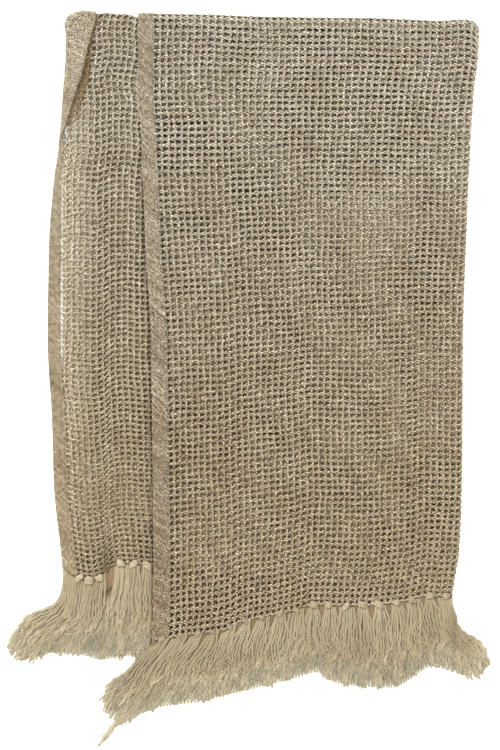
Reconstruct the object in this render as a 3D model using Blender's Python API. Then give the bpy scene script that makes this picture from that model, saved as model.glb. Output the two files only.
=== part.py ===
"""Crochet throw blanket, folded in half lengthwise and then crosswise, lying face up.

Metres, +Z up. The throw lies on z = 0. +X runs across it to the lengthwise fold
and +Y runs along it to the crosswise fold. Its four layers are named from below:
floor and second are the back half, third and top are the front half. The floor
and top layers are joined to their neighbours along the lengthwise fold.
"""

import math

import bpy
import bmesh
import numpy as np

# The net, its layers and its folds
CLOTH_THICK = 0.0026
LAYER_GAP = 0.0008
LAYER_STEP = CLOTH_THICK + LAYER_GAP
FOLD_RADIUS = LAYER_STEP / 2
MARGIN_RADIUS = 0.0019
LEAST_MARGIN = 0.006  # width of the margin's columns where nothing is turned over
LEAST_REST = 0.3  # share of the margin's columns that is kept past its turn
SKIRT = 0.014  # a layer comes down over this width beside the layer under it
PIECE_GAP = 0.0007

# Knotted fringe
TASSEL_PITCH = 0.0222
KNOT_WIDTH = 0.0070
KNOT_CROWN = 0.0018  # of a knot that shows, over the cloth's thickness
GATHER = 0.86  # how far a tassel's locks stand from its middle, of their even spacing
CURVE_HANDLE = 0.48  # of a lock's length, to the points that steer its curve
LOCK_WAVE = 0.0016
LOCK_TURNS = 7.5  # radians of that wave along a lock
REACH_SPREAD = 0.03  # shares of a lock's length by which it is longer or shorter
SIDE_SHORTER = 0.03  # share of its length by which a tassel's outer lock is shorter
TIP_SLOPE = 0.045
LOCK_SHAPE = (
    ("along", "width", "thick"),
    (0.00, 0.70, 1.00),
    (0.25, 0.86, 1.00),
    (0.80, 0.90, 0.95),
    (1.00, 0.30, 0.50),
)

# Undyed cotton, matt all over
NET_COLOUR = (0.50, 0.41, 0.29, 1.0)
YARN_COLOUR = (0.62, 0.53, 0.39, 1.0)
COTTON_ROUGHNESS = 0.95
SMOOTH_UP_TO = math.radians(50)

# Edges seen from above: the lengthwise fold and each layer's free selvedge
SIDES = (
    ("y", "fold", "top", "third", "second", "floor"),
    (0.472, 0.3060, -0.1493, -0.2467, -0.2467, -0.1493),
    (0.433, 0.3050, -0.1493, -0.2455, -0.2430, -0.1500),
    (0.380, 0.2990, -0.1493, -0.2490, -0.2440, -0.1510),
    (0.327, 0.2953, -0.1460, -0.2530, -0.2445, -0.1520),
    (0.257, 0.2916, -0.1427, -0.2627, -0.2480, -0.1530),
    (0.173, 0.2882, -0.1393, -0.2690, -0.2500, -0.1550),
    (0.047, 0.2842, -0.1320, -0.2710, -0.2540, -0.1580),
    (-0.060, 0.2836, -0.1307, -0.2650, -0.2515, -0.1610),
    (-0.147, 0.2827, -0.1296, -0.2627, -0.2495, -0.1630),
    (-0.227, 0.2795, -0.1287, -0.2540, -0.2440, -0.1650),
    (-0.300, 0.2685, -0.1285, -0.2470, -0.2390, -0.1660),
    (-0.353, 0.2620, -0.1307, -0.2470, -0.2390, -0.1660),
)

# Crosswise fold: the throw's far edge, with its two rounded corners
FAR_EDGE = (
    ("x", "y"),
    (-0.247, 0.4710),
    (-0.243, 0.4785),
    (-0.236, 0.4835),
    (-0.222, 0.4868),
    (-0.200, 0.4850),
    (-0.165, 0.4825),
    (-0.127, 0.4815),
    (-0.063, 0.4808),
    (0.000, 0.4785),
    (0.107, 0.4768),
    (0.193, 0.4748),
    (0.257, 0.4728),
    (0.284, 0.4745),
    (0.295, 0.4728),
    (0.302, 0.4680),
    (0.306, 0.4600),
)

# Hems, where the knots of the fringe begin
HEMS = (
    ("x", "top", "third", "second", "floor"),
    (-0.248, -0.3533, -0.2580, -0.2320, -0.2460),
    (-0.231, -0.3533, -0.2690, -0.2320, -0.2460),
    (-0.213, -0.3533, -0.2730, -0.2325, -0.2460),
    (-0.196, -0.3533, -0.2680, -0.2325, -0.2460),
    (-0.184, -0.3533, -0.2540, -0.2330, -0.2460),
    (-0.165, -0.3533, -0.2500, -0.2330, -0.2460),
    (-0.131, -0.3533, -0.2530, -0.2335, -0.2458),
    (-0.093, -0.3467, -0.2555, -0.2340, -0.2450),
    (-0.033, -0.3387, -0.2600, -0.2350, -0.2440),
    (-0.013, -0.3285, -0.2620, -0.2350, -0.2435),
    (0.053, -0.3147, -0.2680, -0.2360, -0.2430),
    (0.087, -0.3055, -0.2720, -0.2370, -0.2420),
    (0.141, -0.3067, -0.2785, -0.2380, -0.2410),
    (0.212, -0.3000, -0.2880, -0.2390, -0.2405),
    (0.232, -0.2937, -0.2905, -0.2395, -0.2400),
    (0.268, -0.2947, -0.2947, -0.2400, -0.2400),
)

# Where the fringe of each layer ends, for what lies across it
TIP_LINES = {"floor": -0.352, "second": -0.349, "third": -0.386}

# Margin of the third layer, turned over on its face beside the crosswise fold
MARGIN = (
    ("y", "turned"),
    (0.474, 0.0400),
    (0.433, 0.0270),
    (0.397, 0.0205),
    (0.371, 0.0133),
    (0.333, 0.0047),
    (0.315, -0.0010),
    (0.295, -0.0060),
)
BACK_MARGIN_RATE = 1.6  # on the back half the margin opens out this much sooner

# Soft ridges of the third layer at its hem, with a trough between them
RIDGES = (
    ("x", "width", "height"),
    (-0.153, 0.021, 0.0042),
    (-0.218, 0.018, 0.0024),
)
WAVE_FALL = 0.050
RIDGE_START, RIDGE_RISE, RIDGE_FALL = -0.165, 0.075, 0.060

# Slow waves of the top layer
WAVES = (
    ("height", "along_x", "along_y", "phase"),
    (0.0006, 21.0, 9.0, 0.4),
    (0.0005, -12.0, 23.0, 1.9),
    (0.0004, 34.0, -15.0, 3.0),
)

# Fringe seen from above: a lock's root on the hem, its tip, and its lean at
# both, in degrees from straight down, positive towards the lengthwise fold.
# The row of the longest tip is a wisp that one tassel trails
TOP_FRINGE = (
    ("root", "tip_x", "tip_y", "root_lean", "tip_lean"),
    (-0.1241, -0.1950, -0.4190, -44, -54),
    (-0.1203, -0.1955, -0.4320, -44, -42),
    (-0.1166, -0.1950, -0.4440, -43, -32),
    (-0.1128, -0.1935, -0.4550, -42, -26),
    (-0.1090, -0.1870, -0.4625, -41, -26),
    (-0.1022, -0.1985, -0.4920, -34, -42),
    (-0.0985, -0.1650, -0.4680, -37, -22),
    (-0.0930, -0.1560, -0.4600, -36, -20),
    (-0.0620, -0.1160, -0.4450, -32, -22),
    (-0.0330, -0.0740, -0.4400, -28, -18),
    (0.0000, -0.0240, -0.4280, -20, -12),
    (0.0670, 0.0560, -0.4080, -8, -6),
    (0.0930, 0.0900, -0.3990, -4, -2),
    (0.1200, 0.1200, -0.4150, 0, 0),
    (0.1870, 0.1910, -0.4200, 3, 2),
    (0.2130, 0.2180, -0.4060, 4, 4),
    (0.2360, 0.2440, -0.3910, 6, 8),
    (0.2494, 0.2660, -0.3970, 8, 14),
    (0.2570, 0.2860, -0.4030, 14, 16),
    (0.2608, 0.3020, -0.4060, 18, 12),
    (0.2646, 0.3195, -0.3905, 20, 4),
)
THIRD_FRINGE = (
    ("root", "tip_x", "tip_y", "root_lean", "tip_lean"),
    (-0.2439, -0.3262, -0.3650, -12, -14),
    (-0.2399, -0.3225, -0.3760, -10, -22),
    (-0.2318, -0.3100, -0.3830, -7, -32),
    (-0.2200, -0.2860, -0.3790, -4, -36),
    (-0.2100, -0.2640, -0.3730, -4, -32),
    (-0.2030, -0.2450, -0.3740, -6, -26),
    (-0.1870, -0.2210, -0.3770, -6, -18),
    (-0.1730, -0.2000, -0.3830, -5, -12),
    (-0.1560, -0.1720, -0.3780, -2, -8),
    (-0.1310, -0.1370, -0.3760, 0, -3),
    (0.2620, 0.2560, -0.3820, -3, -3),
)
SECOND_FRINGE = (
    ("root", "tip_x", "tip_y", "root_lean", "tip_lean"),
    (-0.2360, -0.2380, -0.3450, -1, -1),
    (0.2620, 0.2560, -0.3450, -3, -3),
)
FLOOR_FRINGE = (
    ("root", "tip_x", "tip_y", "root_lean", "tip_lean"),
    (-0.1630, -0.1630, -0.3480, 0, 0),
    (0.2620, 0.2560, -0.3480, -3, -3),
)

# Locks to a tassel and rings along a lock, where the fringe shows and where it doesn't
SHOWN, HIDDEN = (5, 5), (2, 3)
FIRST_RING = 0.10  # share of a lock's length at which it has its own thickness
SEED = 7

# Where each fringe starts and ends along its hem, and where the third one goes
# under the top layer. The hidden ones end a little sooner
FRINGE_STARTS = {"floor": -0.1640, "second": -0.2370, "third": -0.2475, "top": -0.1275}
FRINGE_END, HIDDEN_END, COVERED_FROM = 0.268, 0.262, -0.131


def soft_step(v):
    """0 below 0, 1 above 1, and an even S between."""
    v = np.clip(v, 0.0, 1.0)
    return v * v * (3.0 - 2.0 * v)


def read(table, at, column):
    """A table's column as a smooth line over its first column, with no overshoot."""
    names = table[0]
    rows = np.array(sorted(table[1:]), float)
    place, value = rows[:, 0], rows[:, names.index(column)]
    rise = np.diff(value) / np.diff(place)
    product, total = rise[:-1] * rise[1:], rise[:-1] + rise[1:]
    even = product > 0
    slope = np.concatenate([rise[:1], np.zeros(len(product)), rise[-1:]])
    slope[1:-1][even] = 2.0 * product[even] / total[even]
    at = np.asarray(at, float)
    i = np.clip(np.searchsorted(place, at) - 1, 0, len(place) - 2)
    width = place[i + 1] - place[i]
    f = np.clip((at - place[i]) / width, 0.0, 1.0)
    bend = width * f * (1 - f) * (slope[i] * (1 - f) - slope[i + 1] * f)
    return value[i] + (value[i + 1] - value[i]) * f * f * (3 - 2 * f) + bend


def turned(layer, y):
    """Width of the margin that is turned over, on the front or the back half."""
    if layer in ("second", "floor"):
        far = MARGIN[1][0]
        y = far - BACK_MARGIN_RATE * (far - y)
    return read(MARGIN, y, "turned")


def turn_start(layer, y):
    """Distance from the selvedge at which the margin begins to turn."""
    return np.maximum(turned(layer, y) + math.pi * MARGIN_RADIUS, 0.0)


def rise(layer, x, y):
    """Height that a layer gives to what lies on it, down to the tips of its fringe."""
    beside = soft_step((x - read(SIDES, y, layer)) / SKIRT + 1)
    past_fold = 1 - soft_step((x - read(SIDES, y, "fold")) / SKIRT)
    past_tips = 1 - soft_step((TIP_LINES[layer] - y) / TIP_SLOPE)
    return LAYER_STEP * beside * past_fold * past_tips


def back_margin_rise(x, y):
    """Height that the back half's turned margin gives to the layers over it."""
    width = np.maximum(turned("second", y), 0) + MARGIN_RADIUS
    beside = soft_step((read(SIDES, y, "second") + width - x) / SKIRT + 1)
    turn = np.minimum(turn_start("second", y) / MARGIN_RADIUS, math.pi)
    return beside * MARGIN_RADIUS * (1 - np.cos(turn))


def ridge(x, y):
    """The third layer's soft ridges, which fade up the cloth and down the fringe."""
    below = read(HEMS, x, "third") - y
    fade = soft_step((RIDGE_START - y) / RIDGE_RISE) * (1 - soft_step(below / RIDGE_FALL))
    lift = sum(h * np.exp(-(((x - at) / w) ** 2)) for at, w, h in RIDGES[1:])
    return lift * fade


def wave(x, y):
    """The top layer's slow waves, never below what it lies on, and none in its
    fringe, which lies level."""
    lift = sum(h * (1 + np.sin(kx * x + ky * y + at)) for h, kx, ky, at in WAVES[1:])
    return lift * (1 - soft_step((read(HEMS, x, "top") - y) / WAVE_FALL))


def underside(layer, x, y):
    """Height of a layer's underside: all that lies under it, and its own unevenness."""
    z = np.zeros(np.broadcast(x, y).shape)
    if layer == "floor":
        return z
    z = z + rise("floor", x, y) + back_margin_rise(x, y)
    if layer == "second":
        return z
    z = z + rise("second", x, y) + ridge(x, y)
    if layer == "third":
        return z
    return z + rise("third", x, y) + wave(x, y)


# Columns of the cloth across a run: a share of the way from the free edge to
# the fold, and the two distances that are kept clear of that share
RUN_COLUMNS = (
    ("share", "from_edge", "from_fold"),
    (0.0, 0.000, 0.024),
    (0.0, 0.018, 0.024),
    (0.16, 0.018, 0.024),
    (0.33, 0.018, 0.024),
    (0.50, 0.018, 0.024),
    (0.67, 0.018, 0.024),
    (0.84, 0.018, 0.024),
    (1.0, 0.018, 0.024),
    (1.0, 0.018, 0.009),
    (1.0, 0.018, FOLD_RADIUS),
)
STRIP_COLUMNS = (
    ("share", "from_edge", "from_fold"),
    (1.0, 0.120, FOLD_RADIUS),
    (1.0, 0.120, 0.009),
    (1.0, 0.120, 0.024),
    (0.78, 0.120, 0.024),
    (0.53, 0.120, 0.024),
    (0.27, 0.120, 0.024),
    (0.0, 0.118, 0.024),
    (0.0, 0.102, 0.024),
    (0.0, 0.088, 0.024),
    (0.0, 0.074, 0.024),
    (0.0, 0.062, 0.024),
    (0.0, 0.050, 0.024),
    (0.0, 0.036, 0.024),
    (0.0, 0.018, 0.024),
    (0.0, 0.000, 0.024),
)

# Columns of the margin: share of its turn that is behind, and of the flat rest ahead
MARGIN_COLUMNS = (
    ("turned", "rest"),
    (0.25, 1.0),
    (0.50, 1.0),
    (0.75, 1.0),
    (1.00, 1.0),
    (1.00, 0.5),
    (1.00, 0.0),
)

# Steps round the lengthwise and the crosswise fold, and along each half, closer
# together at the margin and at the hem
TURN_ANGLES = np.radians((36, 72, 108, 144))
FOLD_ANGLES = np.radians((30, 60, 90, 120, 150))
FRONT_STATIONS = np.concatenate(
    [np.linspace(0, 0.24, 9)[:-1], np.linspace(0.24, 0.92, 10)[:-1], np.linspace(0.92, 1, 4)]
)
BACK_STATIONS = np.concatenate(
    [np.linspace(0, 0.20, 6)[:-1], np.linspace(0.20, 0.94, 4)[:-1], np.linspace(0.94, 1, 2)]
)


def fold_line(x):
    """y where a layer begins to bend round the crosswise fold."""
    y = MARGIN[1][0]
    under_top = soft_step((x - read(SIDES, y, "top")) / SKIRT + 1)
    in_margin = soft_step((read(SIDES, y, "third") + turned("third", y) - x) / SKIRT + 1)
    radius = FOLD_RADIUS + LAYER_STEP * np.maximum(under_top, in_margin)
    return read(FAR_EDGE, x, "y") - radius - CLOTH_THICK / 2


def run(columns, edge, fold):
    """x of a run's columns between its free edge and the lengthwise fold."""
    share, from_edge, from_fold = np.array(columns[1:]).T
    start = edge + from_edge
    return start + share * (fold - from_fold - start)


def margin_line(layer, y):
    """x where a layer starts to turn up into its margin. The turn's outside is the
    layer's edge."""
    turn = np.minimum(turn_start(layer, y) / MARGIN_RADIUS, math.pi / 2)
    return read(SIDES, y, layer) + MARGIN_RADIUS * np.sin(turn)


def margin_columns(layer, y):
    """x of the margin's columns, and the angle that each has turned through."""
    start = turn_start(layer, y)
    span = np.maximum(start, LEAST_MARGIN)
    rest = np.maximum(span - math.pi * MARGIN_RADIUS, LEAST_REST * span)
    turn_share, rest_share = np.array(MARGIN_COLUMNS[1:]).T
    left = rest * rest_share + (span - rest) * (1 - turn_share)
    angle = np.clip((start - left) / MARGIN_RADIUS, 0, math.pi)
    past = np.maximum(start - left - math.pi * MARGIN_RADIUS, 0)
    before = np.maximum(left - start, 0)
    return margin_line(layer, y) - MARGIN_RADIUS * np.sin(angle) + past + before, angle


def sections():
    """Columns of a half that make the outer run, the turn round the lengthwise
    fold, the inner run and the margin."""
    counts = [len(RUN_COLUMNS) - 1, len(TURN_ANGLES), len(STRIP_COLUMNS) - 1]
    counts.append(len(MARGIN_COLUMNS) - 1)
    return [slice(sum(counts[:i]), sum(counts[: i + 1])) for i in range(len(counts))]


def half(outer, inner, stations):
    """Half of the throw as an array of stations x columns x 3, from the outer
    layer's selvedge, round the lengthwise fold, to the inner layer's selvedge.
    x and y depend on each other, so a few passes bring them together."""
    run_at, turn_at, strip_at, margin_at = sections()
    column = np.arange(margin_at.stop)
    share = np.repeat(stations[:, None], len(column), axis=1)
    in_outer = column < (turn_at.start + turn_at.stop) // 2
    y = FAR_EDGE[-1][1] * (1 - share) + HEMS[-1][HEMS[0].index(outer)] * share
    for _ in range(4):
        fold = read(SIDES, y, "fold") - CLOTH_THICK / 2
        edge = read(SIDES, y, outer)
        join = margin_line(inner, y) + np.maximum(LEAST_MARGIN - turn_start(inner, y), 0)
        x = np.empty_like(y)
        x[:, run_at] = run(RUN_COLUMNS, edge[:, run_at], fold[:, run_at])
        x[:, turn_at] = fold[:, turn_at] - FOLD_RADIUS * (1 - np.sin(TURN_ANGLES))
        x[:, strip_at] = run(STRIP_COLUMNS, join[:, strip_at], fold[:, strip_at])
        x[:, margin_at], angle = margin_columns(inner, y[:, margin_at])
        hem = np.where(in_outer, read(HEMS, x, outer), read(HEMS, x, inner))
        y = fold_line(x) * (1 - share) + hem * share
    z = np.where(in_outer, underside(outer, x, y), underside(inner, x, y))
    sign = 1 if outer == "top" else -1
    z[:, margin_at] += sign * MARGIN_RADIUS * (1 - np.cos(angle))
    before, after = z[:, run_at.stop - 1, None], z[:, strip_at.start, None]
    z[:, turn_at] = (before + after + (before - after) * np.cos(TURN_ANGLES)) / 2
    return np.stack([x, y, z + CLOTH_THICK / 2], axis=-1)


def cloth_sheet():
    """The whole throw's middle surface, from the front hem over the crosswise fold
    to the back hem."""
    front = half("top", "third", FRONT_STATIONS)
    back = half("floor", "second", BACK_STATIONS)
    near, far = front[0], back[0]
    centre, radius = (near + far) / 2, (near[:, 2] - far[:, 2]) / 2
    bend = np.repeat(centre[None], len(FOLD_ANGLES), axis=0)
    bend[..., 1] += np.sin(FOLD_ANGLES)[:, None] * radius
    bend[..., 2] += np.cos(FOLD_ANGLES)[:, None] * radius
    return np.concatenate([front[::-1], bend, back])


def grid_faces(rows, columns):
    """The quads of a grid of points, row by row."""
    i = (np.arange(rows - 1)[:, None] * columns + np.arange(columns - 1)).ravel()
    return np.stack([i, i + 1, i + columns + 1, i + columns], axis=1)


def new_object(name, points, faces, material):
    """A mesh object with its faces pointing outwards and its round parts smooth."""
    mesh = bpy.data.meshes.new(name)
    mesh.from_pydata(points.tolist(), [], faces.tolist())
    shape = bmesh.new()
    shape.from_mesh(mesh)
    bmesh.ops.recalc_face_normals(shape, faces=shape.faces)
    if shape.calc_volume(signed=True) < 0:
        bmesh.ops.reverse_faces(shape, faces=shape.faces)
    shape.to_mesh(mesh)
    shape.free()
    mesh.shade_smooth()
    mesh.set_sharp_from_angle(angle=SMOOTH_UP_TO)
    mesh.materials.append(material)
    thing = bpy.data.objects.new(name, mesh)
    bpy.context.scene.collection.objects.link(thing)
    return thing


def cotton(name, colour):
    """Undyed cotton yarn."""
    material = bpy.data.materials.new(name)
    material.use_nodes = True
    shader = material.node_tree.nodes["Principled BSDF"]
    shader.inputs["Base Color"].default_value = colour
    shader.inputs["Roughness"].default_value = COTTON_ROUGHNESS
    shader.inputs["Metallic"].default_value = 0.0
    return material


def lock_edges(groups):
    """x of the locks' edges along a hem, how many tassels lie before each edge, and
    for each lock its tassel's middle, the locks in its tassel and the rings along it."""
    edges, counts, owners = [groups[0][0]], [0.0], []
    for start, end, (locks, rings) in groups:
        tassels = round((end - start) / TASSEL_PITCH)
        edges += list(np.linspace(start, end, tassels * locks + 1)[1:])
        counts += list(counts[-1] + np.arange(1, tassels * locks + 1) / locks)
        for middle in start + (np.arange(tassels) + 0.5) * (end - start) / tassels:
            owners += [(middle, locks, rings)] * locks
    return np.array(edges), np.array(counts), owners


def lock_path(table, root, tip_at, reach, phase, t):
    """A lock's centre line from above at shares t of its length, as points and ways
    to its side: a cubic curve from the knot to the tip, with a slow wave."""
    tip = np.array([read(table, tip_at, "tip_x"), read(table, tip_at, "tip_y")])
    tip = root + (tip - root) * reach
    leans = np.radians([read(table, tip_at, n) for n in ("root_lean", "tip_lean")])
    ways = CURVE_HANDLE * np.linalg.norm(tip - root)
    ways = ways * np.stack([np.sin(leans), -np.cos(leans)], axis=1)
    ends = np.array([root, root + ways[0], tip - ways[1], tip])
    t = t[:, None]
    s = 1 - t
    centre = s**3 * ends[0] + 3 * s * s * t * ends[1] + 3 * s * t * t * ends[2] + t**3 * ends[3]
    steps = np.diff(ends, axis=0)
    way = s * s * steps[0] + 2 * s * t * steps[1] + t * t * steps[2]
    way = way / np.linalg.norm(way, axis=1)[:, None]
    side = np.stack([-way[:, 1], way[:, 0]], axis=1)
    bow = LOCK_WAVE * np.sin(t * LOCK_TURNS + phase) * np.sqrt(np.sin(t * math.pi))
    return centre + side * bow, side


def rims(layer, left, right, height):
    """Rings of four corners, lying on what is under the layer: each ring has the
    lower and the upper left corner, and the upper and the lower right one."""
    low_left = underside(layer, left[:, 0], left[:, 1])
    low_right = underside(layer, right[:, 0], right[:, 1])
    corners = (
        (left, low_left),
        (left, low_left + height),
        (right, low_right + height),
        (right, low_right),
    )
    return np.stack([np.column_stack([line, z]) for line, z in corners], axis=1)


def fringe(name, layer, table, hem, groups, shown_to, material):
    """Knots in a narrow strip along a hem, with the tassels' locks grown from its
    front face. A lock keeps the four corners of the face that it grows from. The
    knots are crowned as far as shown_to, past which something lies on them."""
    draw = np.random.default_rng(SEED)
    edges, tassels, owners = lock_edges(groups)
    y = np.interp(edges, hem[:, 0], hem[:, 1])
    y = y - PIECE_GAP * np.hypot(1, np.gradient(y, edges))
    back, front = np.column_stack([edges, y]), np.column_stack([edges, y - KNOT_WIDTH])
    crown = KNOT_CROWN * np.abs(np.sin(math.pi * tassels))
    crown = crown * soft_step((shown_to - edges) / TASSEL_PITCH)
    strip = rims(layer, back, front, CLOTH_THICK + crown)
    points = [strip.reshape(-1, 3)]
    first = np.arange(len(edges) - 1)[:, None] * 4
    quads = [first + np.array([k, k + 1, k + 5, k + 4]) for k in (0, 1)]
    quads.append(first + np.array([3, 0, 4, 7]))
    quads.append(np.array([[0, 1, 2, 3], np.array([3, 2, 1, 0]) + 4 * (len(edges) - 1)]))
    made = 4 * len(edges)
    for i, (middle, locks, rings) in enumerate(owners):
        root = (front[i] + front[i + 1]) / 2
        off = (root[0] - middle) / (TASSEL_PITCH / 2)
        reach = 1 + draw.uniform(-REACH_SPREAD, REACH_SPREAD) - SIDE_SHORTER * off * off
        gathered = middle + GATHER * (root[0] - middle)
        t = np.linspace(FIRST_RING, 1, rings)
        centre, side = lock_path(table, root, gathered, reach, tassels[i], t)
        half_width = TASSEL_PITCH / locks * read(LOCK_SHAPE, t, "width")[:, None] / 2
        thick = CLOTH_THICK * read(LOCK_SHAPE, t, "thick")
        ring = rims(layer, centre - side * half_width, centre + side * half_width, thick)
        points.append(ring.reshape(-1, 3))
        before = np.array([4 * i + 3, 4 * i + 2, 4 * i + 6, 4 * i + 7])
        for k in range(rings):
            after = made + 4 * k + np.arange(4)
            ahead = np.roll(before, -1), np.roll(after, -1)
            quads.append(np.stack([before, ahead[0], ahead[1], after], axis=1))
            before = after
        quads.append(before[None])
        made += 4 * rings
    new_object(name, np.concatenate(points), np.concatenate(quads), material)


for old in list(bpy.data.objects):
    bpy.data.objects.remove(old, do_unlink=True)

net = cotton("undyed_cotton_net", NET_COLOUR)
yarn = cotton("undyed_cotton_yarn", YARN_COLOUR)

# The throw's one cloth, folded
sheet = cloth_sheet()
cloth = new_object("throw_cloth", sheet.reshape(-1, 3), grid_faces(*sheet.shape[:2]), net)
wall = cloth.modifiers.new("thickness", "SOLIDIFY")
wall.thickness = CLOTH_THICK
wall.offset = 0.0

# Fringe at the two ends of the cloth, which the lengthwise fold parts into four runs
run_at, turn_at, strip_at, margin_at = sections()
inner = slice(strip_at.start, margin_at.stop)
top_hem, third_hem = sheet[0, run_at], sheet[0, inner][::-1]
floor_hem, second_hem = sheet[-1, run_at], sheet[-1, inner][::-1]

groups = [(FRINGE_STARTS["top"], FRINGE_END, SHOWN)]
fringe("fringe_top", "top", TOP_FRINGE, top_hem, groups, math.inf, yarn)

groups = [(FRINGE_STARTS["third"], COVERED_FROM, SHOWN), (COVERED_FROM, HIDDEN_END, HIDDEN)]
fringe("fringe_third", "third", THIRD_FRINGE, third_hem, groups, COVERED_FROM, yarn)

groups = [(FRINGE_STARTS["second"], HIDDEN_END, HIDDEN)]
fringe("fringe_second", "second", SECOND_FRINGE, second_hem, groups, -math.inf, yarn)

groups = [(FRINGE_STARTS["floor"], HIDDEN_END, HIDDEN)]
fringe("fringe_floor", "floor", FLOOR_FRINGE, floor_hem, groups, -math.inf, yarn)
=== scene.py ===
"""Crochet throw of undyed cotton, folded in half lengthwise and then crosswise, lying
face up. Metres, +Z up; +X runs to the lengthwise fold and +Y to the crosswise fold."""

from math import pi

import bpy
import numpy as np
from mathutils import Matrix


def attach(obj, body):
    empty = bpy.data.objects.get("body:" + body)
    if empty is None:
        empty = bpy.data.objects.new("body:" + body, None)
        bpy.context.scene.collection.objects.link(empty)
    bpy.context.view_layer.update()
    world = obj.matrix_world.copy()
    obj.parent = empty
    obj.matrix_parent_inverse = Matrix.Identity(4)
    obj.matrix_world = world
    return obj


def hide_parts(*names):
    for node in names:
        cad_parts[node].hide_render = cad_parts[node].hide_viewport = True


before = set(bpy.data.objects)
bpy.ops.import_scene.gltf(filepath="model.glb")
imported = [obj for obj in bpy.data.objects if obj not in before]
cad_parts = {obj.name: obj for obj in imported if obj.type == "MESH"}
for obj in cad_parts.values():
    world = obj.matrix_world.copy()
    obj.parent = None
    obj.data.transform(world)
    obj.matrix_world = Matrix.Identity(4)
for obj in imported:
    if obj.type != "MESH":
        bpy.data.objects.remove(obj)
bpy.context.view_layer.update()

# ----------
# Where the throw lies: a white table top that glows a little, as a light table does,
# soft daylight from the upper left, and a camera straight above it that takes in one
# metre from top to bottom.

CAMERA_HEIGHT = 3.212
CAMERA_LENS = 115.2
TABLE_HALF = 4.0
TABLE_GAP = 0.0004
TABLE_COLOUR = (0.92, 0.92, 0.92, 1.0)
TABLE_GLOW = 0.7
WHITE = (1.0, 1.0, 1.0, 1.0)
SKY_STRENGTH = 0.90
WINDOW_PLACE = (-3.6, 4.1, 6.3)
WINDOW_SIZE = 3.6
WINDOW_POWER = 472.0

eye = bpy.data.objects.new("camera", bpy.data.cameras.new("camera"))
eye.data.lens = CAMERA_LENS
eye.data.clip_start = 0.01
eye.data.clip_end = 50.0
eye.location = (0.0, 0.0, CAMERA_HEIGHT)
bpy.context.scene.collection.objects.link(eye)
bpy.context.scene.camera = eye
bpy.context.scene.view_settings.view_transform = "Standard"

window = bpy.data.objects.new("window", bpy.data.lights.new("window", "AREA"))
window.data.shape = "DISK"
window.data.size = WINDOW_SIZE
window.data.energy = WINDOW_POWER
window.location = WINDOW_PLACE
window.rotation_mode = "QUATERNION"
window.rotation_quaternion = window.location.to_track_quat("Z", "Y")
bpy.context.scene.collection.objects.link(window)

sky = bpy.data.worlds.new("sky")
sky.use_nodes = True
sky.node_tree.nodes["Background"].inputs["Color"].default_value = WHITE
sky.node_tree.nodes["Background"].inputs["Strength"].default_value = SKY_STRENGTH
bpy.context.scene.world = sky

corners = [(-1, -1), (1, -1), (1, 1), (-1, 1)]
corners = [(x * TABLE_HALF, y * TABLE_HALF, -TABLE_GAP) for x, y in corners]
table_mesh = bpy.data.meshes.new("table_top")
table_mesh.from_pydata(corners, [], [(0, 1, 2, 3)])
white = bpy.data.materials.new("white_table_top")
white.use_nodes = True
surface = white.node_tree.nodes["Principled BSDF"].inputs
surface["Base Color"].default_value = TABLE_COLOUR
surface["Roughness"].default_value = 0.9
surface["Emission Color"].default_value = WHITE
surface["Emission Strength"].default_value = TABLE_GLOW
table_mesh.materials.append(white)
table = bpy.data.objects.new("table_top", table_mesh)
bpy.context.scene.collection.objects.link(table)

# ----------
# Net of the top layer: an open crochet mesh of soft cotton yarn, 47 stitches from its
# selvedge to the lengthwise fold and 98 rows from the crosswise fold to the hem.
# The whole throw is one cloth, so the lines and heights here serve all four layers.

CLOTH_THICK = 0.0026
LAYER_STEP = 0.0034
FOLD_RADIUS = LAYER_STEP / 2
MARGIN_RADIUS = 0.0019
SKIRT = 0.014
ROWS = 98
TOP_COLUMNS, THIRD_COLUMNS = 47, 65

# Edges seen from above: the lengthwise fold and each layer's free selvedge
SIDES = (
    ("y", "fold", "top", "third", "second", "floor"),
    (0.472, 0.306, -0.1493, -0.2467, -0.2467, -0.1493),
    (0.433, 0.305, -0.1493, -0.2455, -0.243, -0.15),
    (0.38, 0.299, -0.1493, -0.249, -0.244, -0.151),
    (0.327, 0.2953, -0.146, -0.253, -0.2445, -0.152),
    (0.257, 0.2916, -0.1427, -0.2627, -0.2504, -0.153),
    (0.173, 0.2882, -0.1393, -0.269, -0.2505, -0.155),
    (0.047, 0.2842, -0.132, -0.271, -0.251, -0.158),
    (-0.06, 0.2836, -0.1307, -0.265, -0.2515, -0.161),
    (-0.147, 0.2827, -0.1296, -0.2627, -0.2495, -0.163),
    (-0.227, 0.2795, -0.1287, -0.254, -0.244, -0.165),
    (-0.3, 0.2685, -0.1285, -0.247, -0.239, -0.166),
    (-0.353, 0.262, -0.1307, -0.247, -0.239, -0.166),
)

# Crosswise fold: the throw's far edge, with its two rounded corners
FAR_EDGE = (
    ("x", "y"),
    (-0.247, 0.471), (-0.243, 0.4785), (-0.236, 0.4835), (-0.222, 0.4868),
    (-0.2, 0.485), (-0.165, 0.4825), (-0.127, 0.4815), (-0.063, 0.4808),
    (0.0, 0.4785), (0.107, 0.4768), (0.193, 0.4748), (0.257, 0.4728),
    (0.284, 0.4745), (0.295, 0.4728), (0.302, 0.468), (0.306, 0.46),
)

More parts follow.
